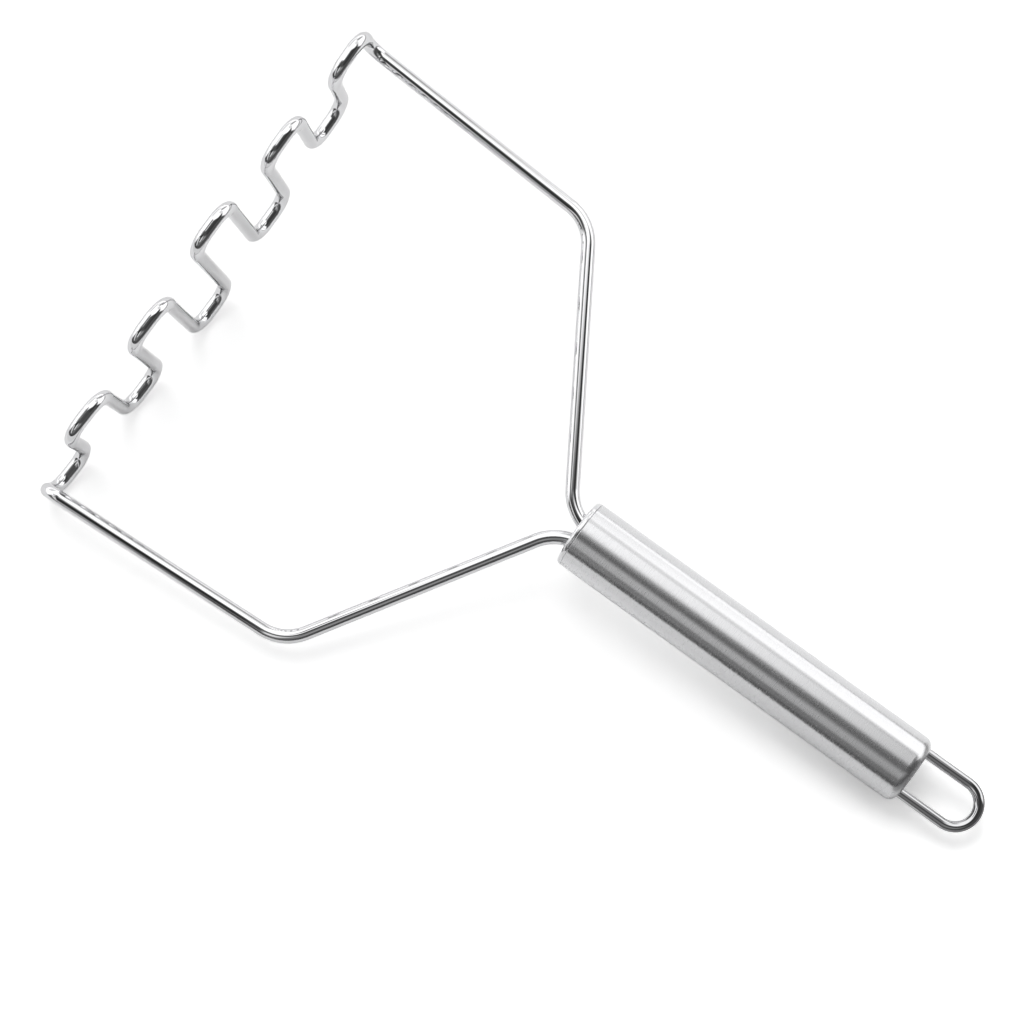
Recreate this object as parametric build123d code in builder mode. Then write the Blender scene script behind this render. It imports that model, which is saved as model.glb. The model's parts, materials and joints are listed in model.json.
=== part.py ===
from build123d import *
from math import acos, atan2, cos, degrees, hypot, pi, sin, sqrt, tan
import os

# A wire potato masher, put down on the lower bends of its head and the back edge of its handle.
# Sizes are in millimetres. +Z is up, the handle points to -Y and the head to +Y.
# The tool's own plane has its origin at the middle of the handle's front face.
# In that plane x runs across the head, y towards the head and z out of the frame.

# Handle tube, closed and rounded at the back
handle_length = 111.0
handle_radius = 10.0
tube_wall = 1.0
end_wall = 2.0
end_round = 2.7

# Front cap, a disc over the tube's open end with a skirt inside the tube
cap_thickness = 1.5
cap_round = 1.1
skirt_length = 8.0
skirt_wall = 0.8
seam_break = 0.2

# Masher wire: two legs in the handle, a neck, a shoulder and a head corner on each side, and the waved head
wire_radius = 2.0
leg_offset = 2.25
leg_depth = 30.0
neck_reach = 3.8
neck_radius = 14.0
shoulder_offset = 71.5
shoulder_reach = 47.5
shoulder_radius = 13.5
head_reach = 127.0
head_bow = 1.5
corner_radius = 5.5

# The head's wave: bends below and above the frame in turn, in pairs that grow towards the middle
bend_pairs = 5
bend_pitch = 15.25
bend_radius = 6.0
middle_height = 26.0
height_step = 6.9

# Hanging loop in the closed end
loop_wire_radius = 1.5
loop_offset = 6.4
loop_straight = 13.4
loop_depth = 5.5

# Weld beads inside the handle
front_bead_leg = 1.5
front_bead_height = 3.0
loop_bead_leg = 0.9
loop_bead_height = 1.8
bead_round_share = 0.65

# Fits: round pieces in their holes, the wire in the cap's slot, and how far a cut runs past what it cuts
fit_gap = 0.05
slot_gap = 0.25
overrun = 1.0

# The most of a straight run that the arc at one end of it may take up
arc_share = 0.495

bore_radius = handle_radius - tube_wall
head_half_width = bend_pairs * bend_pitch
loop_reach = loop_straight + loop_offset


def head_line(across):
    """How far in front of the handle the head's wire lies: a shallow bow with the middle drawn back."""
    return head_reach - head_bow * (1 - (across / head_half_width) ** 2)


def bend_height(pair):
    """Height of a pair of bends over the frame: the middle pair is the highest."""
    return middle_height - height_step * abs(pair - (bend_pairs - 1) / 2)


def wave_corners():
    """The corners of the head's wave from the left to the right, before they are rounded."""
    corners = []
    for bend in range(2 * bend_pairs):
        left = bend * bend_pitch - head_half_width
        right = left + bend_pitch
        side = 1 if bend % 2 else -1
        height = side * bend_height(bend // 2)
        corners.append((left, head_line(left), height))
        corners.append((right, head_line(right), height))
    return corners


def fitting_radius(before, corner, after, radius):
    """The radius asked for at a corner, or the largest that its two straight runs have room for."""
    run_in = Vector(corner) - Vector(before)
    run_out = Vector(after) - Vector(corner)
    half_turn = run_in.get_angle(run_out) / 360 * pi
    room = arc_share * min(run_in.length, run_out.length)
    return min(radius, room / tan(half_turn))


def rounded_corners(corners, radii):
    """One radius for each corner between the two ends of a path."""
    return [
        fitting_radius(corners[i], corners[i + 1], corners[i + 2], radius)
        for i, radius in enumerate(radii)
    ]


left_side = [
    (-leg_offset, -leg_depth, 0),
    (-leg_offset, neck_reach, 0),
    (-shoulder_offset, shoulder_reach, 0),
    (-head_half_width, head_reach, 0),
]
right_side = [(-across, forward, 0) for across, forward, height in reversed(left_side)]
side_radii = [neck_radius, shoulder_radius, corner_radius]
wire_corners = left_side + wave_corners() + right_side
wire_radii = side_radii + [bend_radius] * (4 * bend_pairs) + side_radii[::-1]

# The pose on a table. The lower bends lie on one line, which sets the roll.
# The middle bend and the handle's back edge both touch the table, which sets the pitch.
roll = atan2(height_step, 2 * bend_pitch)
bend_arc_across = bend_radius - bend_pitch
bend_arc_height = bend_radius - middle_height
bend_drop = bend_radius - bend_arc_across * sin(roll) - bend_arc_height * cos(roll)
rise = bend_drop - (handle_radius - end_round)
span = head_line(-bend_pitch) + handle_length - end_round
pitch = acos((end_round - wire_radius) / hypot(rise, span)) - atan2(span, rise)
mouth_height = (
    (handle_radius - end_round) * cos(pitch)
    + (handle_length - end_round) * sin(pitch)
    + end_round
)


def lying_forward(corner):
    """How far forward a corner of the wire comes once the tool lies on the table."""
    across, forward, height = corner
    raised = across * sin(roll) + height * cos(roll)
    return forward * cos(pitch) - raised * sin(pitch)


forward_reach = max(lying_forward(corner) for corner in wire_corners) + wire_radius
backward_reach = (handle_length + loop_reach) * cos(pitch) + loop_wire_radius
mouth_forward = (backward_reach - forward_reach) / 2

tool = Plane(Location((0, mouth_forward, mouth_height), (degrees(pitch), -degrees(roll), 0)))
mouth = Plane(tool.origin, x_dir=tool.x_dir, z_dir=tool.y_dir)
handle_axis = Axis(tool.origin, tool.y_dir)
handle_end = mouth.offset(-handle_length)
end_inside = mouth.offset(end_wall - handle_length)
cap_inside = mouth.offset(-cap_thickness)

os.makedirs("parts", exist_ok=True)


# Handle tube
with BuildPart() as handle_tube:
    with BuildSketch(tool):
        with BuildLine():
            FilletPolyline(
                (0, -handle_length),
                (handle_radius, -handle_length),
                (handle_radius, -cap_thickness),
                (bore_radius, -cap_thickness),
                (bore_radius, end_wall - handle_length),
                (0, end_wall - handle_length),
                radius=[0, end_round, seam_break, 0, 0, 0],
                close=True,
            )
        make_face()
    revolve(axis=handle_axis)
    with BuildSketch(handle_end.offset(-overrun)):
        with Locations((-loop_offset, 0), (loop_offset, 0)):
            Circle(loop_wire_radius + fit_gap)
    extrude(amount=end_wall + 2 * overrun, mode=Mode.SUBTRACT)

handle_tube.part.label = "handle_tube"
export_step(handle_tube.part, "parts/handle_tube.step")


# Front cap, with a slot that takes both wires where they begin to part
neck_line = Vector(shoulder_offset - leg_offset, shoulder_reach - neck_reach)
neck_turn = atan2(neck_line.X, neck_line.Y)
bend_depth = neck_radius * tan(neck_turn / 2) - neck_reach
mouth_offset = leg_offset + neck_radius - sqrt(neck_radius**2 - bend_depth**2)
mouth_half_width = wire_radius * neck_radius / sqrt(neck_radius**2 - bend_depth**2)
slot_length = 2 * (mouth_offset + mouth_half_width + slot_gap)
slot_width = 2 * (wire_radius + slot_gap)
skirt_radius = bore_radius - fit_gap
skirt_end = -cap_thickness - skirt_length

with BuildPart() as front_cap:
    with BuildSketch(tool):
        with BuildLine():
            FilletPolyline(
                (0, 0),
                (handle_radius, 0),
                (handle_radius, -cap_thickness),
                (skirt_radius, -cap_thickness),
                (skirt_radius, skirt_end),
                (skirt_radius - skirt_wall, skirt_end),
                (skirt_radius - skirt_wall, -cap_thickness),
                (0, -cap_thickness),
                radius=[0, cap_round, seam_break, 0, 0, 0, 0, 0],
                close=True,
            )
        make_face()
    revolve(axis=handle_axis)
    with BuildSketch(mouth.offset(overrun)):
        SlotOverall(slot_length, slot_width)
    extrude(amount=-cap_thickness - 2 * overrun, mode=Mode.SUBTRACT)

front_cap.part.label = "front_cap"
export_step(front_cap.part, "parts/front_cap.step")


# Masher wire, one length from one end in the handle round the head to the other
with BuildLine(tool) as wire_path:
    FilletPolyline(*wire_corners, radius=rounded_corners(wire_corners, wire_radii))

with BuildPart() as masher_wire:
    with BuildSketch(mouth.offset(-leg_depth)):
        with Locations((-leg_offset, 0)):
            Circle(wire_radius)
    sweep(path=wire_path.line)

masher_wire.part.label = "masher_wire"
export_step(masher_wire.part, "parts/masher_wire.step")


# Front weld, a bead round both legs of the wire on the inside of the cap
with BuildPart() as front_weld:
    with BuildSketch(cap_inside):
        SlotOverall(slot_length + 2 * front_bead_leg, slot_width + 2 * front_bead_leg)
    extrude(amount=-front_bead_height)
    fillet(front_weld.faces().sort_by(handle_axis)[0].edges(), radius=front_bead_leg * bead_round_share)
    with BuildSketch(mouth.offset(-leg_depth)):
        with Locations((-leg_offset, 0)):
            Circle(wire_radius + fit_gap)
    sweep(path=wire_path.line, mode=Mode.SUBTRACT)

front_weld.part.label = "front_weld"
export_step(front_weld.part, "parts/front_weld.step")


# Hanging loop, a bent wire with both legs through the handle's closed end
with BuildLine(tool) as loop_path:
    first_leg = Line(
        (-loop_offset, loop_depth - handle_length),
        (-loop_offset, -handle_length - loop_straight),
    )
    TangentArc(
        first_leg @ 1,
        (loop_offset, -handle_length - loop_straight),
        tangent=first_leg % 1,
    )
    Line(
        (loop_offset, -handle_length - loop_straight),
        (loop_offset, loop_depth - handle_length),
    )

with BuildPart() as hanging_loop:
    with BuildSketch(handle_end.offset(loop_depth)):
        with Locations((-loop_offset, 0)):
            Circle(loop_wire_radius)
    sweep(path=loop_path.line)

hanging_loop.part.label = "hanging_loop"
export_step(hanging_loop.part, "parts/hanging_loop.step")


# Loop welds, a bead round each leg of the loop on the inside of the closed end
for side_name, side in (("left", -1), ("right", 1)):
    with BuildPart() as loop_weld:
        with BuildSketch(end_inside):
            with Locations((side * loop_offset, 0)):
                Circle(loop_wire_radius + loop_bead_leg)
        extrude(amount=loop_bead_height)
        fillet(loop_weld.faces().sort_by(handle_axis)[-1].edges(), radius=loop_bead_leg * bead_round_share)
        with BuildSketch(end_inside.offset(-overrun)):
            with Locations((side * loop_offset, 0)):
                Circle(loop_wire_radius + fit_gap)
        extrude(amount=loop_bead_height + 2 * overrun, mode=Mode.SUBTRACT)

    loop_weld.part.label = "loop_weld_" + side_name
    export_step(loop_weld.part, "parts/loop_weld_" + side_name + ".step")


wire_length = wire_path.wires()[0].length
volume_ratio = masher_wire.part.volume / (pi * wire_radius**2 * wire_length)
print("roll", round(degrees(roll), 3), "pitch", round(degrees(pitch), 3), "mouth at", tool.origin)
print("wire length", round(wire_length, 1), "volume over section times length", round(volume_ratio, 5))
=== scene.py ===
import json
import math

import bpy
import numpy as np
from bpy.props import FloatProperty, FloatVectorProperty, IntProperty, PointerProperty
from mathutils import Matrix, Vector


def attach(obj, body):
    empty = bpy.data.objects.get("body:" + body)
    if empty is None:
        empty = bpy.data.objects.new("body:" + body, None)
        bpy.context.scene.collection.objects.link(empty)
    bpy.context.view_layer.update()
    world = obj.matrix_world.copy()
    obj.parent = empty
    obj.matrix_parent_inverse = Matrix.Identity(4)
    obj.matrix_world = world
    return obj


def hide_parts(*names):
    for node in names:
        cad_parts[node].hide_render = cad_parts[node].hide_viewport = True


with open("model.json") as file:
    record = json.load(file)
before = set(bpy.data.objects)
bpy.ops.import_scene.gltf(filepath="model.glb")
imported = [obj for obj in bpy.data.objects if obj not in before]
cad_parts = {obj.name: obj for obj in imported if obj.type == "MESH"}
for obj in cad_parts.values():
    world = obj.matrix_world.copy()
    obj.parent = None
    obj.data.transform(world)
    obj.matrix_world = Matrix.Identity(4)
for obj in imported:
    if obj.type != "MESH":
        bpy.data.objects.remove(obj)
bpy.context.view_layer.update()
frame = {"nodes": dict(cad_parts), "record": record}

bl_info = {
    "name": "Potato masher",
    "version": (1, 0, 0),
    "blender": (4, 5, 0),
    "location": "3D View > Sidebar > Masher",
    "description": "A wire potato masher with a steel tube handle, dressed over its construction model",
    "category": "Object",
}

BODY = "root"

# The plain length of the handle as the frame gives it, with its axis towards the loop.
# The front cap and its seam lie between it and the handle's front face.
GRIP = next(mount for mount in frame["record"]["mounts"] if mount["name"] == "handle_grip")
GRIP_MIDDLE = Vector(GRIP["pos_m"])
GRIP_AXIS = Vector(GRIP["axis"])
CAP_AND_SEAM = 0.0017
MILLIMETRE = 0.001
HANDLE_FRONT = GRIP_MIDDLE - GRIP_AXIS * (GRIP["dims"]["length_mm"] * MILLIMETRE / 2 + CAP_AND_SEAM)

# The head's bends, which also set how far the tool leans
BEND_PITCH = 0.01525
HEIGHT_STEP = 0.0069

# Flat sides that stand in for the round of each wire
WIRE_SIDES = 40
LOOP_SIDES = 32

# Grains per metre along the wires and round them. The wires' map is flat, so the third number does nothing.
DRAWN_LINES = (90, 5200, 1)
POLISH_CLOUDS = (160, 160, 1)

# Grains per metre along the brushed tube and cap and round them, and in every direction
FINE_BRUSHING = (5200, 420)
BROAD_BRUSHING = (900, 130)
STEEL_CLOUDS = 90

# Grains per metre on the weld beads
WELD_RIPPLES = 900
WELD_SPOTS = 260

# The part of a noise's range that carries its pattern
NOISE_RANGE = (0.3, 0.7)

# How far each colour goes to both sides with its pattern, as a share of its own value
WIRE_TINT = 0.03
STEEL_TINT = 0.035
WELD_TINT = 0.18

# The least and the most of each roughness with its pattern, as shares of its own value
WIRE_DULLING = (0.7, 1.5)
STEEL_DULLING = (0.9, 1.1)
WELD_DULLING = (0.8, 1.25)

# What the drawn lines count for in the wire's relief next to the clouds, and the parts of the brushed
# steel's colour that follow its broad lines and its clouds
LINES_IN_RELIEF = 0.1
BROAD_SHARE = 0.6
CLOUD_SHARE = 0.4

# From the brush lines to the way that they spread the light, as a share of a full turn
SPREAD_TURN = 0.25

# Depths of the finishes' relief in metres
WIRE_RELIEF = 0.000003
TUBE_RELIEF = 0.0000004
CAP_RELIEF = 0.000001
WELD_RELIEF = 0.00006


# Sizes and finishes


class MasherPose(bpy.types.PropertyGroup):
    """Where the tool lies on the table."""

    mouth: FloatVectorProperty(
        name="Mouth", description="Middle of the handle's front face",
        default=HANDLE_FRONT, unit="LENGTH", precision=6,
    )
    pitch: FloatProperty(
        name="Pitch", description="How much the head's end is raised",
        default=math.asin(-GRIP_AXIS.z), unit="ROTATION",
    )
    roll: FloatProperty(
        name="Roll", description="How far the frame leans to the side its head rests on",
        default=math.atan2(HEIGHT_STEP, 2 * BEND_PITCH), unit="ROTATION",
    )


class MasherWireSizes(bpy.types.PropertyGroup):
    """The long wire, its frame and its waved head."""

    radius: FloatProperty(
        name="Wire radius", description="Half the wire's thickness",
        default=0.002, unit="LENGTH", precision=5,
    )
    leg_offset: FloatProperty(
        name="Leg offset", description="From the handle's axis to a leg's",
        default=0.00225, unit="LENGTH", precision=5,
    )
    leg_depth: FloatProperty(
        name="Leg depth", description="Length of a leg in the handle",
        default=0.030, unit="LENGTH", precision=5,
    )
    neck_reach: FloatProperty(
        name="Neck reach", description="Where the legs turn apart",
        default=0.0038, unit="LENGTH", precision=5,
    )
    neck_radius: FloatProperty(
        name="Neck bend", description="Radius of the bend at the neck",
        default=0.014, unit="LENGTH", precision=5,
    )
    shoulder_offset: FloatProperty(
        name="Shoulder offset", description="Half the frame's width at the shoulders",
        default=0.0715, unit="LENGTH", precision=5,
    )
    shoulder_reach: FloatProperty(
        name="Shoulder reach", description="From the handle to the shoulders",
        default=0.0475, unit="LENGTH", precision=5,
    )
    shoulder_radius: FloatProperty(
        name="Shoulder bend", description="Radius of the bend at a shoulder",
        default=0.0135, unit="LENGTH", precision=5,
    )
    head_reach: FloatProperty(
        name="Head reach", description="From the handle to the head",
        default=0.127, unit="LENGTH", precision=5,
    )
    head_bow: FloatProperty(
        name="Head bow", description="How far the head's middle is drawn back",
        default=0.0015, unit="LENGTH", precision=5,
    )
    corner_radius: FloatProperty(
        name="Corner bend", description="Radius of the bend at a head corner",
        default=0.0055, unit="LENGTH", precision=5,
    )
    bend_pairs: IntProperty(
        name="Pairs of bends", description="How many bends the head has on each side of the frame",
        default=5,
    )
    bend_pitch: FloatProperty(
        name="Bend pitch", description="From one bend's side to the next",
        default=BEND_PITCH, unit="LENGTH", precision=5,
    )
    bend_radius: FloatProperty(
        name="Head bend", description="Radius of the head's bends",
        default=0.006, unit="LENGTH", precision=5,
    )
    middle_height: FloatProperty(
        name="Middle height", description="Height of the middle pair of bends",
        default=0.026, unit="LENGTH", precision=5,
    )
    height_step: FloatProperty(
        name="Height step", description="What each pair towards the ends is lower by",
        default=HEIGHT_STEP, unit="LENGTH", precision=5,
    )


class MasherLoopSizes(bpy.types.PropertyGroup):
    """The hanging loop and the handle end that it comes out of."""

    handle_length: FloatProperty(
        name="Handle length", description="From the front cap to the closed end",
        default=0.111, unit="LENGTH", precision=5,
    )
    radius: FloatProperty(
        name="Loop wire radius", description="Half the loop wire's thickness",
        default=0.0015, unit="LENGTH", precision=5,
    )
    offset: FloatProperty(
        name="Loop offset", description="From the handle's axis to a leg's",
        default=0.0064, unit="LENGTH", precision=5,
    )
    straight: FloatProperty(
        name="Loop straight", description="Straight length of a leg outside the handle",
        default=0.0134, unit="LENGTH", precision=5,
    )
    depth: FloatProperty(
        name="Loop depth", description="Length of a leg inside the handle",
        default=0.0055, unit="LENGTH", precision=5,
    )


class MasherFinish(bpy.types.PropertyGroup):
    """Colours and polish of the four finishes."""

    wire_colour: FloatVectorProperty(
        name="Wire", description="Polished wire", default=(0.67, 0.67, 0.68), subtype="COLOR"
    )
    # Painted shade: the loop's colour is the wire's polished steel made darker.
    loop_colour_and_shade: FloatVectorProperty(
        name="Loop", description="Hanging loop", default=(0.55, 0.55, 0.56), subtype="COLOR"
    )
    wire_roughness: FloatProperty(
        name="Wire roughness", description="How dull the wire's polish is",
        default=0.035, subtype="FACTOR",
    )
    wire_edge: FloatProperty(
        name="Wire edge", description="How much of the light the wire gives back at its outline",
        default=0.8, subtype="FACTOR",
    )
    tube_colour: FloatVectorProperty(
        name="Tube", description="Brushed handle tube", default=(0.66, 0.66, 0.67), subtype="COLOR"
    )
    tube_roughness: FloatProperty(
        name="Tube roughness", description="How dull the tube's brushing is",
        default=0.26, subtype="FACTOR",
    )
    cap_colour: FloatVectorProperty(
        name="Cap", description="Pressed front cap", default=(0.70, 0.70, 0.71), subtype="COLOR"
    )
    cap_roughness: FloatProperty(
        name="Cap roughness", description="How dull the cap is", default=0.2, subtype="FACTOR"
    )
    weld_colour: FloatVectorProperty(
        name="Weld", description="Unpolished weld metal", default=(0.45, 0.43, 0.41), subtype="COLOR"
    )
    weld_roughness: FloatProperty(
        name="Weld roughness", description="How dull the weld beads are", default=0.42, subtype="FACTOR"
    )
    brushing: FloatProperty(
        name="Brushing", description="How much finer the polish is along the brush lines than across",
        default=0.85, subtype="FACTOR",
    )


class MasherStage(bpy.types.PropertyGroup):
    """Floor, light and camera."""

    floor_level: FloatProperty(
        name="Floor", description="How pale the floor is to the light that falls on it",
        default=0.9, subtype="FACTOR",
    )
    # Painted shade: to the lens the floor's shadows are lifted more under the head than under the loop, by
    # its paleness and by a glow.
    shown_front: FloatProperty(
        name="Floor shown, head", description="How pale the lit floor under the head is to the lens",
        default=0.63,
    )
    shown_rear: FloatProperty(
        name="Floor shown, loop", description="How pale the lit floor under the loop is to the lens",
        default=1.12,
    )
    glow_front: FloatProperty(
        name="Shadow lifted, head", description="How bright the darkest shadow under the head is",
        default=0.54,
    )
    glow_rear: FloatProperty(
        name="Shadow lifted, loop", description="How bright the darkest shadow under the loop is",
        default=0.18,
    )
    # Painted light and shade in the reflections: in the metal the floor is paler on the window side and
    # darker behind the handle.
    floor_near: FloatProperty(
        name="Floor mirrored, room side",
        description="How pale the floor on the room's side is in the metal",
        default=0.92,
    )
    floor_far: FloatProperty(
        name="Floor mirrored, window side",
        description="How pale the floor on the window's side is in the metal",
        default=1.12,
    )
    floor_behind: FloatProperty(
        name="Floor behind",
        description="What share of that the floor behind the handle shows in the metal",
        default=0.35,
    )
    bright_side: FloatProperty(
        name="Bright side", description="How bright the window side is in the metal", default=1.6
    )
    dark_side: FloatProperty(
        name="Dark side", description="How bright the room's side is in the metal", default=0.1
    )
    window_side: FloatVectorProperty(
        name="Window side", description="Where the window is",
        default=(0.8, 0.6, 0.0), subtype="DIRECTION",
    )
    window_fade: FloatVectorProperty(
        name="Window fade", description="Where the room ends and the window side begins, as cosines",
        default=(-0.15, 0.0), size=2,
    )
    skirting: FloatProperty(
        name="Skirting", description="How bright the line over the floor is next to the rest",
        default=0.3, subtype="FACTOR",
    )
    room_light: FloatProperty(
        name="Room light", description="Light that falls on the floor from all round", default=0.35
    )
    window_light: FloatProperty(
        name="Window light", description="What the window side adds to it", default=0.45
    )
    lamp_light: FloatProperty(
        name="Lamp light", description="What the soft lamp over the window side adds to it", default=4.5
    )
    lamp_side: FloatVectorProperty(
        name="Lamp side", description="Where the soft lamp is",
        default=(0.25, 0.35, 0.9), subtype="DIRECTION",
    )
    lamp_spread: FloatProperty(
        name="Lamp spread", description="Half the angle that the lamp takes up",
        default=math.radians(20), unit="ROTATION",
    )
    camera_place: FloatVectorProperty(
        name="Camera", description="Where the camera stands",
        default=(-0.191315, -0.118805, 0.689848), unit="LENGTH",
    )
    camera_line: FloatVectorProperty(
        name="Line of sight", description="The way the camera looks",
        default=(0.26145, 0.19303, -0.94565), subtype="DIRECTION",
    )
    camera_up: FloatVectorProperty(
        name="Upright", description="Upward direction in the picture",
        default=(0.76569, 0.55502, 0.32498), subtype="DIRECTION",
    )
    lens: FloatProperty(
        name="Lens", description="Focal length in millimetres, for the sensor's width",
        default=91.406, unit="CAMERA",
    )


class MasherSettings(bpy.types.PropertyGroup):
    """Everything that can be set on the masher."""

    pose: PointerProperty(type=MasherPose)
    wire: PointerProperty(type=MasherWireSizes)
    loop: PointerProperty(type=MasherLoopSizes)
    finish: PointerProperty(type=MasherFinish)
    stage: PointerProperty(type=MasherStage)


# Routes of the two wires


def tool_placement(pose):
    """From the tool's own axes to the table: x across the head, y towards it, z out of the frame."""
    lean = Matrix.Rotation(pose.pitch, 4, "X") @ Matrix.Rotation(-pose.roll, 4, "Y")
    return Matrix.Translation(pose.mouth) @ lean


def head_line(wire, across):
    """How far in front of the handle the head's wire lies."""
    half = wire.bend_pairs * wire.bend_pitch
    return wire.head_reach - wire.head_bow * (1 - (across / half) ** 2)


def wave_corners(wire):
    """Corners of the head's wave from left to right: bends below and above the frame in turn."""
    corners = []
    for bend in range(2 * wire.bend_pairs):
        left = (bend - wire.bend_pairs) * wire.bend_pitch
        right = left + wire.bend_pitch
        pairs_off_middle = abs(bend // 2 - (wire.bend_pairs - 1) / 2)
        height = wire.middle_height - wire.height_step * pairs_off_middle
        if bend % 2 == 0:
            height = -height
        corners.append(Vector((left, head_line(wire, left), height)))
        corners.append(Vector((right, head_line(wire, right), height)))
    return corners


def masher_wire_corners(wire):
    """Corners of the long wire and the radius at each, from one end in the handle to the other."""
    half = wire.bend_pairs * wire.bend_pitch
    side = [
        (wire.leg_offset, -wire.leg_depth),
        (wire.leg_offset, wire.neck_reach),
        (wire.shoulder_offset, wire.shoulder_reach),
        (half, wire.head_reach),
    ]
    left = [Vector((-across, forward, 0)) for across, forward in side]
    right = [Vector((across, forward, 0)) for across, forward in reversed(side)]
    wave = wave_corners(wire)
    side_radii = [wire.neck_radius, wire.shoulder_radius, wire.corner_radius]
    radii = side_radii + [wire.bend_radius] * len(wave) + side_radii[::-1]
    return left + wave + right, radii


def rounded_route(corners, radii, arc_share=0.495, step=math.radians(5), fewest=4):
    """Points and directions along a wire bent at each corner, with nothing added on its straight runs.

    The arc at one end of a straight run takes up no more than arc_share of it.
    """
    points = [corners[0]]
    heads = [(corners[1] - corners[0]).normalized()]
    for before, corner, after, wanted in zip(corners, corners[1:], corners[2:], radii):
        run_in = corner - before
        run_out = after - corner
        ahead = run_in.normalized()
        turned = run_out.normalized()
        turn = ahead.angle(turned)
        room = arc_share * min(run_in.length, run_out.length)
        radius = min(wanted, room / math.tan(turn / 2))
        inward = (turned - ahead * ahead.dot(turned)).normalized()
        start = corner - ahead * radius * math.tan(turn / 2)
        middle = start + inward * radius
        count = max(fewest, math.ceil(turn / step))
        for i in range(count + 1):
            angle = turn * i / count
            points.append(middle - inward * radius * math.cos(angle) + ahead * radius * math.sin(angle))
            heads.append(ahead * math.cos(angle) + inward * math.sin(angle))
    points.append(corners[-1])
    heads.append((corners[-1] - corners[-2]).normalized())
    return points, heads


def loop_route(loop, step=math.radians(4)):
    """Points and directions along the hanging loop."""
    inside = loop.depth - loop.handle_length
    turn_line = -loop.handle_length - loop.straight
    points = [Vector((-loop.offset, inside, 0))]
    heads = [Vector((0, -1, 0))]
    count = math.ceil(math.pi / step)
    for i in range(count + 1):
        angle = math.pi * i / count
        across = -loop.offset * math.cos(angle)
        forward = turn_line - loop.offset * math.sin(angle)
        points.append(Vector((across, forward, 0)))
        heads.append(Vector((math.sin(angle), -math.cos(angle), 0)))
    points.append(Vector((loop.offset, inside, 0)))
    heads.append(Vector((0, 1, 0)))
    return points, heads


def wire_mesh(name, points, heads, radius, sides):
    """A round wire along a route, with its length and its girth in metres as the UV map."""
    rings = []
    outward = []
    lengths = [0.0]
    across = heads[0].orthogonal().normalized()
    for i, (point, head) in enumerate(zip(points, heads)):
        if i:
            across = heads[i - 1].rotation_difference(head) @ across
            lengths.append(lengths[-1] + (point - points[i - 1]).length)
        across = (across - head * across.dot(head)).normalized()
        other = head.cross(across)
        for k in range(sides):
            angle = 2 * math.pi * k / sides
            outward.append(across * math.cos(angle) + other * math.sin(angle))
            rings.append(point + outward[-1] * radius)
    faces = []
    coordinates = []
    girth = 2 * math.pi * radius / sides
    for i in range(len(points) - 1):
        for k in range(sides):
            a = i * sides + k
            b = i * sides + (k + 1) % sides
            faces.append((a, b, b + sides, a + sides))
            near, far = lengths[i], lengths[i + 1]
            low, high = k * girth, (k + 1) * girth
            coordinates += [(near, low), (near, high), (far, high), (far, low)]
    walls = len(faces)
    faces.append(tuple(reversed(range(sides))))
    faces.append(tuple(range((len(points) - 1) * sides, len(points) * sides)))
    coordinates += [(0.0, k * girth) for k in reversed(range(sides))]
    coordinates += [(lengths[-1], k * girth) for k in range(sides)]
    mesh = bpy.data.meshes.new(name)
    mesh.from_pydata(rings, [], faces)
    layer = mesh.uv_layers.new(name="along_and_round")
    layer.data.foreach_set("uv", np.array(coordinates, np.float32).ravel())
    mesh.polygons.foreach_set("use_smooth", [True] * walls + [False] * 2)
    mesh.update()
    round_side = [outward[corner] for face in faces[:walls] for corner in face]
    mesh.normals_split_custom_set(round_side + [-heads[0]] * sides + [heads[-1]] * sides)
    return mesh


# Finishes


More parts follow.
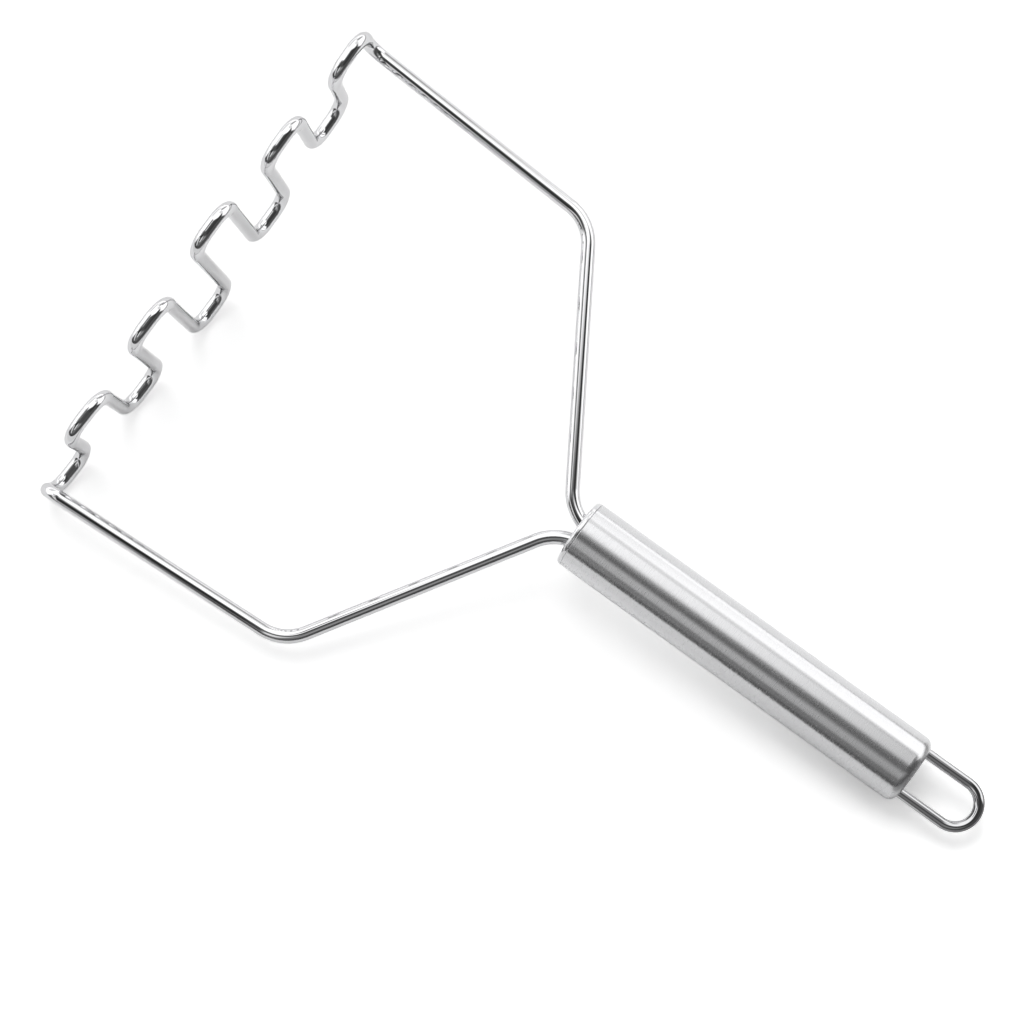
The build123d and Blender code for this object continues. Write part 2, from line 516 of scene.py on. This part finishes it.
class NodeBench:
    """Puts nodes into a material or a world and joins them."""

    def __init__(self, owner):
        owner.use_nodes = True
        self.owner = owner
        self.tree = owner.node_tree
        self.shader = self.tree.nodes.get("Principled BSDF")

    def node(self, kind, **settings):
        """A new node, with its own settings or the values of its inputs."""
        made = self.tree.nodes.new(kind)
        for key, value in settings.items():
            if hasattr(made, key):
                setattr(made, key, value)
            else:
                made.inputs[key].default_value = value
        return made

    def link(self, source, target):
        """Joins a socket to another, or sets it to a number."""
        if isinstance(source, (int, float)):
            target.default_value = source
        else:
            self.tree.links.new(source, target)

    def maths(self, operation, first, second):
        """What an operation makes of two sockets or numbers."""
        made = self.node("ShaderNodeMath", operation=operation)
        for socket, value in zip(made.inputs, (first, second)):
            self.link(value, socket)
        return made.outputs[0]

    def spread(self, source, low, high, to_low, to_high, soft=False):
        """A range of a pattern brought to another range, evenly or with soft ends."""
        made = self.node("ShaderNodeMapRange")
        if soft:
            made.interpolation_type = "SMOOTHSTEP"
        self.link(source, made.inputs["Value"])
        for key, value in (("From Min", low), ("From Max", high), ("To Min", to_low), ("To Max", to_high)):
            made.inputs[key].default_value = value
        return made.outputs["Result"]

    def towards(self, vector, direction):
        """How far a vector points in a direction."""
        made = self.node("ShaderNodeVectorMath", operation="DOT_PRODUCT")
        made.inputs[1].default_value = direction
        self.link(vector, made.inputs[0])
        return made.outputs["Value"]

    def either(self, choice, when_off, when_on):
        """One number where the choice is 0 and another where it is 1."""
        made = self.node("ShaderNodeMix", data_type="FLOAT")
        self.link(choice, made.inputs["Factor"])
        self.link(when_off, made.inputs["A"])
        self.link(when_on, made.inputs["B"])
        return made.outputs["Result"]

    def grain(self, vector, scale=1.0, detail=2.0):
        """A noise with so many grains for each unit of the vector."""
        made = self.node("ShaderNodeTexNoise")
        made.inputs["Scale"].default_value = scale
        made.inputs["Detail"].default_value = detail
        self.link(vector, made.inputs["Vector"])
        return made.outputs["Fac"]

    def stretched(self, source, scale):
        """A place multiplied by its own number on each axis."""
        made = self.node("ShaderNodeMapping")
        made.inputs["Scale"].default_value = scale
        self.link(source, made.inputs["Vector"])
        return made.outputs["Vector"]

    def tint(self, pattern, colour, variation):
        """The colour, a little lighter and darker with the pattern."""
        mix = self.node("ShaderNodeMix", data_type="RGBA")
        mix.inputs["A"].default_value = (*(c * (1 - variation) for c in colour), 1)
        mix.inputs["B"].default_value = (*(min(1, c * (1 + variation)) for c in colour), 1)
        self.link(pattern, mix.inputs["Factor"])
        self.link(mix.outputs["Result"], self.shader.inputs["Base Color"])

    def dulling(self, pattern, roughness, shares):
        """Roughness that follows the pattern, from one share of its value to another."""
        low, high = shares
        rough = self.spread(pattern, *NOISE_RANGE, roughness * low, roughness * high)
        self.link(rough, self.shader.inputs["Roughness"])

    def relief(self, pattern, depth):
        """Raises the surface with the pattern, by so much where it is 1."""
        bump = self.node("ShaderNodeBump")
        bump.inputs["Strength"].default_value = 1.0
        bump.inputs["Distance"].default_value = depth
        self.link(pattern, bump.inputs["Height"])
        self.link(bump.outputs["Normal"], self.shader.inputs["Normal"])


def metal(name):
    """A new metal on the bench."""
    bench = NodeBench(bpy.data.materials.new(name))
    bench.shader.inputs["Metallic"].default_value = 1.0
    return bench


def glow(name):
    """A new material on the bench, with nothing on its surface yet."""
    bench = NodeBench(bpy.data.materials.new(name))
    bench.tree.nodes.remove(bench.shader)
    return bench


def polished_wire(name, colour, finish):
    """Wire polished to a mirror, with the faint lines of the drawing die along it."""
    bench = metal(name)
    place = bench.node("ShaderNodeTexCoord").outputs["UV"]
    lines = bench.grain(bench.stretched(place, DRAWN_LINES), detail=3.0)
    clouds = bench.grain(bench.stretched(place, POLISH_CLOUDS))
    bench.tint(clouds, colour, WIRE_TINT)
    bench.shader.inputs["Specular Tint"].default_value = (*(finish.wire_edge,) * 3, 1)
    bench.dulling(lines, finish.wire_roughness, WIRE_DULLING)
    raised_lines = bench.maths("MULTIPLY", lines, LINES_IN_RELIEF)
    bench.relief(bench.maths("ADD", raised_lines, clouds), WIRE_RELIEF)
    return bench.owner


def turned_steel(name, colour, roughness, brushing, pose, line_depth):
    """Steel brushed round the handle's axis: fine lines round its side and rings on its flat ends."""
    bench = metal(name)
    axis = tool_placement(pose).to_3x3() @ Vector((0, 1, 0))
    place = bench.node("ShaderNodeTexCoord").outputs["Object"]
    offset = bench.node("ShaderNodeVectorMath", operation="SUBTRACT")
    offset.inputs[1].default_value = pose.mouth
    bench.link(place, offset.inputs[0])
    along = bench.towards(offset.outputs["Vector"], axis)
    round_way = bench.node("ShaderNodeVectorMath", operation="CROSS_PRODUCT")
    round_way.inputs[0].default_value = axis
    bench.link(offset.outputs["Vector"], round_way.inputs[1])
    reach = bench.node("ShaderNodeVectorMath", operation="LENGTH")
    bench.link(round_way.outputs["Vector"], reach.inputs[0])
    ring = bench.maths("SUBTRACT", along, reach.outputs["Value"])
    split = bench.node("ShaderNodeSeparateXYZ")
    bench.link(round_way.outputs["Vector"], split.inputs["Vector"])

    def brush_lines(per_metre, round_per_metre):
        """Lines that run round the axis, and a little out of true."""
        joined = bench.node("ShaderNodeCombineXYZ")
        bench.link(bench.maths("MULTIPLY", ring, per_metre), joined.inputs["X"])
        bench.link(bench.maths("MULTIPLY", split.outputs["X"], round_per_metre), joined.inputs["Y"])
        bench.link(bench.maths("MULTIPLY", split.outputs["Z"], round_per_metre), joined.inputs["Z"])
        return bench.grain(joined.outputs["Vector"])

    fine = brush_lines(*FINE_BRUSHING)
    broad = bench.maths("MULTIPLY", brush_lines(*BROAD_BRUSHING), BROAD_SHARE)
    clouds = bench.maths("MULTIPLY", bench.grain(place, STEEL_CLOUDS), CLOUD_SHARE)
    bench.tint(bench.maths("ADD", broad, clouds), colour, STEEL_TINT)
    bench.dulling(fine, roughness, STEEL_DULLING)
    bench.shader.inputs["Anisotropic"].default_value = brushing
    bench.shader.inputs["Anisotropic Rotation"].default_value = SPREAD_TURN
    bench.link(round_way.outputs["Vector"], bench.shader.inputs["Tangent"])
    bench.relief(fine, line_depth)
    return bench.owner


def weld_metal(finish):
    """A weld bead left as it cooled, with a rippled, slightly heat-tinted skin."""
    bench = metal("weld_skin")
    place = bench.node("ShaderNodeTexCoord").outputs["Object"]
    ripples = bench.grain(place, WELD_RIPPLES, detail=3.0)
    spots = bench.grain(place, WELD_SPOTS)
    bench.tint(spots, finish.weld_colour, WELD_TINT)
    bench.dulling(ripples, finish.weld_roughness, WELD_DULLING)
    bench.relief(ripples, WELD_RELIEF)
    return bench.owner


def finish_node(name, material):
    """Gives a construction solid its finish."""
    solid = frame["nodes"][name]
    for slot in solid.material_slots:
        slot.material = material


def dress(name, mesh, material, node, placement):
    """A finely meshed piece in the place of its construction solid."""
    mesh.transform(placement)
    mesh.materials.append(material)
    piece = bpy.data.objects.new(name, mesh)
    bpy.context.scene.collection.objects.link(piece)
    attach(piece, BODY)
    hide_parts(node)


# Pieces


class MASHER_OT_wire(bpy.types.Operator):
    """Bend the long wire: two legs, a neck, shoulders, head corners and the waved head"""

    bl_idname = "masher.wire"
    bl_label = "Masher wire"

    def execute(self, context):
        settings = context.scene.masher
        points, heads = rounded_route(*masher_wire_corners(settings.wire))
        mesh = wire_mesh("masher_wire_polished", points, heads, settings.wire.radius, WIRE_SIDES)
        material = polished_wire("wire_polish", settings.finish.wire_colour, settings.finish)
        placement = tool_placement(settings.pose)
        dress("masher_wire_polished", mesh, material, "masher_wire", placement)
        return {"FINISHED"}


class MASHER_OT_loop(bpy.types.Operator):
    """Bend the hanging loop that goes through the handle's closed end"""

    bl_idname = "masher.loop"
    bl_label = "Hanging loop"

    def execute(self, context):
        settings = context.scene.masher
        points, heads = loop_route(settings.loop)
        mesh = wire_mesh("hanging_loop_polished", points, heads, settings.loop.radius, LOOP_SIDES)
        # The loop's finish carries painted shade in its darker colour.
        material = polished_wire("loop_polish_and_shade", settings.finish.loop_colour_and_shade, settings.finish)
        placement = tool_placement(settings.pose)
        dress("hanging_loop_polished", mesh, material, "hanging_loop", placement)
        return {"FINISHED"}


class MASHER_OT_handle(bpy.types.Operator):
    """Brush the handle tube and its front cap"""

    bl_idname = "masher.handle"
    bl_label = "Handle"

    def execute(self, context):
        settings = context.scene.masher
        finish = settings.finish
        tube = turned_steel(
            "tube_brushing", finish.tube_colour, finish.tube_roughness,
            finish.brushing, settings.pose, TUBE_RELIEF,
        )
        cap = turned_steel(
            "cap_brushing", finish.cap_colour, finish.cap_roughness,
            finish.brushing, settings.pose, CAP_RELIEF,
        )
        finish_node("handle_tube", tube)
        finish_node("front_cap", cap)
        return {"FINISHED"}


class MASHER_OT_welds(bpy.types.Operator):
    """Finish the weld beads inside the handle"""

    bl_idname = "masher.welds"
    bl_label = "Weld beads"

    def execute(self, context):
        material = weld_metal(context.scene.masher.finish)
        for name in ("front_weld", "loop_weld_left", "loop_weld_right"):
            finish_node(name, material)
        return {"FINISHED"}


# Stage


# Level boards over the tool, set from what the photograph's metal reflects, in steps of 5 cm.
# Each hangs a little under the one before: name, from and to across the tool, from and to along it,
# brightness and softness of the edges.
# The boards are painted light and shade in the reflections: they glow only in the metal and light nothing.
STUDIO_BOARDS = (
    ("room_left", (-3.0, -0.9), (-0.8, 0.15), 0.2, 0.1),
    ("patch", (-1.2, -0.5), (-0.15, 0.15), 1.1, 0.15),
    ("patch_rear", (-0.9, -0.4), (-0.8, -0.25), 0.35, 0.1),
    ("camera", (-0.35, -0.1), (-0.3, 0.05), 0.1, 0.05),
    ("right", (-0.2, 0.6), (-0.7, -0.2), 0.05, 0.1),
    ("streak", (-1.0, -0.35), (0.1, 0.4), 0.03, 0.05),
    ("streak_far", (-0.4, -0.05), (0.25, 0.45), 0.1, 0.05),
    ("head_side", (-3.0, -0.6), (0.4, 1.0), 0.8, 0.05),
    ("grey", (-0.4, -0.15), (0.45, 0.65), 0.6, 0.05),
    ("gap", (0.7, 2.5), (0.2, 0.6), 0.4, 0.1),
    ("dip", (0.4, 0.6), (-0.2, 0.3), 0.95, 0.05),
    ("shoulder", (0.2, 1.2), (0.9, 1.9), 0.9, 0.1),
)
TOP_BOARD_HEIGHT = 0.76
BOARD_SPACING = 0.01

# Corners of a square that reaches 1 to each side
SQUARE = ((-1, -1), (1, -1), (1, 1), (-1, 1))

# The floor's half side, and how far it lies under the tool
FLOOR_HALF = 4.0
FLOOR_DROP = 0.00005

# The way across the floor from the room's side to the window's, and between which places on it, in metres,
# the floor gets brighter in the metal
# Painted light in the reflections: the floor is brighter in the metal on the window side.
FLOOR_WAY = Vector((2, 1, 0)).normalized()
FLOOR_WINDOW_FADE = (-0.06, -0.02)

# Places along the tool, in metres, between which the floor gets brighter in the metal, and between which it
# changes for the lens from its levels under the loop to those under the head
# Painted shade in the reflections: the floor is darker in the metal behind the handle.
FLOOR_BEHIND_FADE = (-0.140, -0.112)
# Painted shade: between these places the floor's shadows to the lens go from deep under the loop to lifted
# under the head.
FLOOR_LENS_FADE = (-0.1, -0.02)

# Where the surroundings change, as sines over the floor and as cosines from the window side
SKIRTING_FADE = (0.01, 0.07)
ROOM_FADE = (-0.3, 0.3)

# The share of the lamp's spread that is fully bright
LAMP_CORE = 0.5

# The camera's picture width in millimetres, and the nearest that it sees in metres
SENSOR_WIDTH = 36
CLIP_START = 0.01


def studio_floor(stage):
    """A pale floor that is white to the lens and in the metal, and keeps the tool's shadow. It also has
    painted light and shade: to the lens a glow lifts its shadows more under the head than under the loop,
    and in the metal it is paler on the window side and darker behind the handle.
    """
    mesh = bpy.data.meshes.new("floor")
    corners = [(x * FLOOR_HALF, y * FLOOR_HALF, -FLOOR_DROP) for x, y in SQUARE]
    mesh.from_pydata(corners, [], [(0, 1, 2, 3)])
    bench = glow("floor")
    ray = bench.node("ShaderNodeLightPath").outputs
    mirrored = bench.maths("MAXIMUM", ray["Is Glossy Ray"], ray["Is Transmission Ray"])
    place = bench.node("ShaderNodeTexCoord").outputs["Object"]
    window = bench.towards(place, FLOOR_WAY)
    forward = bench.towards(place, Vector((0, 1, 0)))
    headwards = bench.spread(forward, *FLOOR_LENS_FADE, 0.0, 1.0)
    # Painted light and shade in the reflections: paler on the window side, darker behind the handle.
    reflected_light_and_shade = bench.spread(window, *FLOOR_WINDOW_FADE, stage.floor_near, stage.floor_far, True)
    behind = bench.spread(forward, *FLOOR_BEHIND_FADE, stage.floor_behind, 1.0, True)
    reflected_light_and_shade = bench.maths("MULTIPLY", reflected_light_and_shade, behind)
    shade = bench.either(mirrored, stage.floor_level, reflected_light_and_shade)
    # Painted shade: to the lens the floor's shadows are lifted more under the head than under the loop.
    shown = bench.either(headwards, stage.shown_rear, stage.shown_front)
    shade = bench.either(ray["Is Camera Ray"], shade, shown)
    shadow_lift = bench.either(headwards, stage.glow_rear, stage.glow_front)
    paper = bench.node("ShaderNodeBsdfDiffuse")
    bench.link(shade, paper.inputs["Color"])
    shadow_lifting_glow = bench.node("ShaderNodeEmission")
    bench.link(bench.maths("MULTIPLY", ray["Is Camera Ray"], shadow_lift), shadow_lifting_glow.inputs["Strength"])
    surface = bench.node("ShaderNodeAddShader")
    bench.link(paper.outputs["BSDF"], surface.inputs[0])
    bench.link(shadow_lifting_glow.outputs["Emission"], surface.inputs[1])
    bench.link(surface.outputs["Shader"], bench.tree.nodes["Material Output"].inputs["Surface"])
    bench.owner.cycles.emission_sampling = "NONE"
    mesh.materials.append(bench.owner)
    floor = bpy.data.objects.new("floor", mesh)
    bpy.context.scene.collection.objects.link(floor)


def studio_light(stage):
    """A bright window side and a dim room in the metal, and soft light on the floor."""
    world = bpy.data.worlds.new("studio")
    bpy.context.scene.world = world
    bench = NodeBench(world)
    place = bench.node("ShaderNodeTexCoord").outputs["Generated"]
    ray = bench.node("ShaderNodeLightPath").outputs
    window = bench.towards(place, Vector(stage.window_side).normalized())
    height = bench.towards(place, Vector((0, 0, 1)))
    sides = bench.spread(window, *stage.window_fade, stage.dark_side, stage.bright_side, True)
    skirting = bench.spread(height, *SKIRTING_FADE, stage.skirting, 1.0, True)
    mirrored = bench.maths("MULTIPLY", sides, skirting)
    room = bench.spread(window, *ROOM_FADE, stage.room_light, stage.room_light + stage.window_light, True)
    lamp = bench.towards(place, Vector(stage.lamp_side).normalized())
    outer, inner = math.cos(stage.lamp_spread), math.cos(stage.lamp_spread * LAMP_CORE)
    cast = bench.maths("ADD", room, bench.spread(lamp, outer, inner, 0.0, stage.lamp_light, True))
    strength = bench.either(ray["Is Diffuse Ray"], mirrored, cast)
    strength = bench.either(ray["Is Camera Ray"], strength, 1.0)
    background = bench.tree.nodes["Background"]
    background.inputs["Color"].default_value = (1, 1, 1, 1)
    bench.link(strength, background.inputs["Strength"])


def studio_board(name, across, along, height, strength, softness):
    """A level board overhead with soft edges, which only shows in the metal: a painted reflection that
    glows but lights nothing.
    """
    centre = (sum(across) / 2, sum(along) / 2, height)
    half = [(end - start) / 2 for start, end in (across, along)]
    reach = [side + softness for side in half]
    corners = [(x * reach[0], y * reach[1]) for x, y in SQUARE]
    mesh = bpy.data.meshes.new(name)
    mesh.from_pydata([(x, y, 0) for x, y in corners], [], [(0, 1, 2, 3)])
    layer = mesh.uv_layers.new(name="from_middle")
    layer.data.foreach_set("uv", [v for corner in corners for v in corner])
    mesh.transform(Matrix.Translation(centre))
    bench = glow(name)
    split = bench.node("ShaderNodeSeparateXYZ")
    bench.link(bench.node("ShaderNodeTexCoord").outputs["UV"], split.inputs["Vector"])
    cover = 1.0
    for key, side in zip("XY", half):
        off_middle = bench.node("ShaderNodeMath", operation="ABSOLUTE")
        bench.link(split.outputs[key], off_middle.inputs[0])
        fade = bench.spread(off_middle.outputs[0], side - softness, side + softness, 1.0, 0.0, True)
        cover = bench.maths("MULTIPLY", fade, cover)
    shine = bench.node("ShaderNodeEmission", Strength=strength)
    blend = bench.node("ShaderNodeMixShader")
    bench.link(cover, blend.inputs["Fac"])
    bench.link(bench.node("ShaderNodeBsdfTransparent").outputs["BSDF"], blend.inputs[1])
    bench.link(shine.outputs["Emission"], blend.inputs[2])
    bench.link(blend.outputs["Shader"], bench.tree.nodes["Material Output"].inputs["Surface"])
    mesh.materials.append(bench.owner)
    board = bpy.data.objects.new(name, mesh)
    bpy.context.scene.collection.objects.link(board)
    board.visible_camera = False
    board.visible_diffuse = False
    board.visible_shadow = False
    board.visible_transmission = False


def studio_camera(stage):
    """A camera at the photograph's viewing angle."""
    data = bpy.data.cameras.new("camera")
    data.lens = stage.lens
    data.sensor_width = SENSOR_WIDTH
    data.clip_start = CLIP_START
    camera = bpy.data.objects.new("camera", data)
    bpy.context.scene.collection.objects.link(camera)
    back = -Vector(stage.camera_line).normalized()
    right = Vector(stage.camera_up).cross(back).normalized()
    up = back.cross(right)
    turn = Matrix((right, up, back)).transposed().to_4x4()
    camera.matrix_world = Matrix.Translation(stage.camera_place) @ turn
    bpy.context.scene.camera = camera


class MASHER_OT_stage(bpy.types.Operator):
    """Lay the floor, light it softly and stand the camera over the tool"""

    bl_idname = "masher.stage"
    bl_label = "Stage"

    def execute(self, context):
        stage = context.scene.masher.stage
        context.scene.view_settings.view_transform = "Standard"
        studio_floor(stage)
        studio_light(stage)
        for i, (name, across, along, strength, softness) in enumerate(STUDIO_BOARDS):
            height = TOP_BOARD_HEIGHT - i * BOARD_SPACING
            studio_board("board_" + name, across, along, height, strength, softness)
        studio_camera(stage)
        return {"FINISHED"}


class MASHER_PT_panel(bpy.types.Panel):
    """The masher's sizes and finishes, and a button for each piece"""

    bl_idname = "MASHER_PT_panel"
    bl_label = "Potato masher"
    bl_space_type = "VIEW_3D"
    bl_region_type = "UI"
    bl_category = "Masher"

    def draw(self, context):
        settings = context.scene.masher
        for title, group in (
            ("Pose", settings.pose),
            ("Masher wire", settings.wire),
            ("Hanging loop", settings.loop),
            ("Finish", settings.finish),
            ("Stage", settings.stage),
        ):
            box = self.layout.box()
            box.label(text=title)
            for key in group.__annotations__:
                box.prop(group, key)
        for operator in OPERATORS:
            self.layout.operator(operator.bl_idname)


GROUPS = (MasherPose, MasherWireSizes, MasherLoopSizes, MasherFinish, MasherStage, MasherSettings)
OPERATORS = (MASHER_OT_wire, MASHER_OT_loop, MASHER_OT_handle, MASHER_OT_welds, MASHER_OT_stage)
CLASSES = GROUPS + OPERATORS + (MASHER_PT_panel,)


def register():
    for cls in CLASSES:
        bpy.utils.register_class(cls)
    bpy.types.Scene.masher = PointerProperty(type=MasherSettings)


def unregister():
    del bpy.types.Scene.masher
    for cls in reversed(CLASSES):
        bpy.utils.unregister_class(cls)


def main():
    register()
    bpy.ops.masher.wire()
    bpy.ops.masher.loop()
    bpy.ops.masher.handle()
    bpy.ops.masher.welds()
    bpy.ops.masher.stage()


if __name__ == "__main__":
    main()
